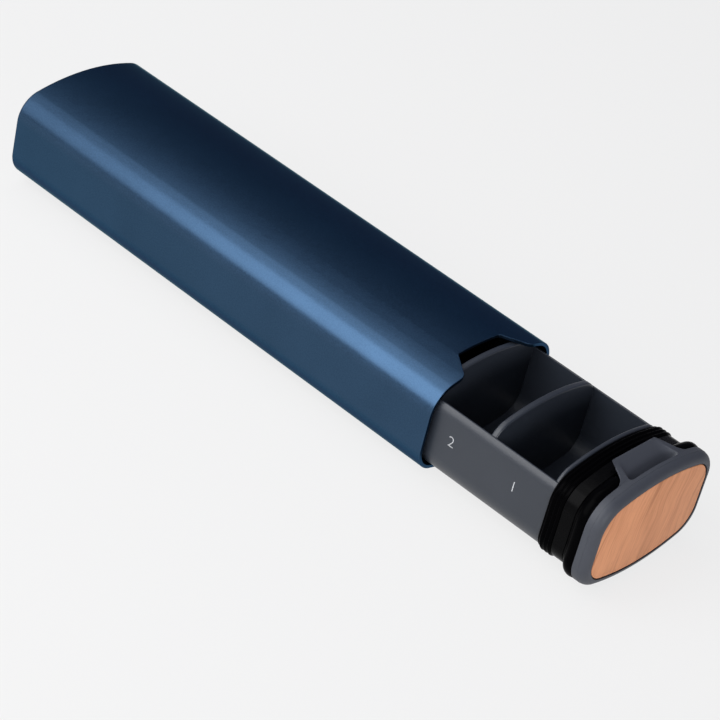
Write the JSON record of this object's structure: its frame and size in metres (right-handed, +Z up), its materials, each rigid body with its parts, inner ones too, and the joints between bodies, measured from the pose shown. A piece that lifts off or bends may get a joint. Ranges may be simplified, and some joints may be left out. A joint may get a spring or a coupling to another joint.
{
  "type": "pill organizer",
  "caption": "Slim metal sleeve, oval in section, with a slide-out tray of pill compartments, a black ring seal and a grey end cap with a thumb tab and a wooden inlay.",
  "frame": {"origin": "on the surface it rests on, under the middle of the whole object as it stands in the picture, tray part way out", "axes": "+X along the sleeve, the way the tray pulls out; +Y across it; +Z up, through the thumb notch"},
  "size_m": [0.2052, 0.0464, 0.0302],
  "materials": {
    "anodised_sleeve": "fine blasted and anodised, dark blue, satin",
    "plug_plastic": "moulded, fine matt texture",
    "grey_plastic": "moulded, fine matt texture",
    "carrier_plastic": "moulded, semi gloss",
    "seal_rubber": "moulded silicone, semi gloss",
    "adhesive": "foam adhesive pad",
    "inlay_wood": "fine sanded, oiled",
    "day_marks": "pad printed light grey ink"
  },
  "bodies": {
    "sleeve": {"sleeve": "anodised_sleeve", "rear_plug": "plug_plastic"},
    "tray": {"tray": "grey_plastic", "seal_carrier": "carrier_plastic", "wiper_seal": "seal_rubber", "bead_seal": "seal_rubber", "cap_bezel": "grey_plastic", "inlay_pad": "adhesive", "wood_inlay": "inlay_wood"}
  },
  "joints": [
    {"name": "tray_slide", "type": "slide", "parent": "sleeve", "child": "tray", "axis": [1, 0, 0], "range_m": [-0.0454, 0.1085]}
  ]
}
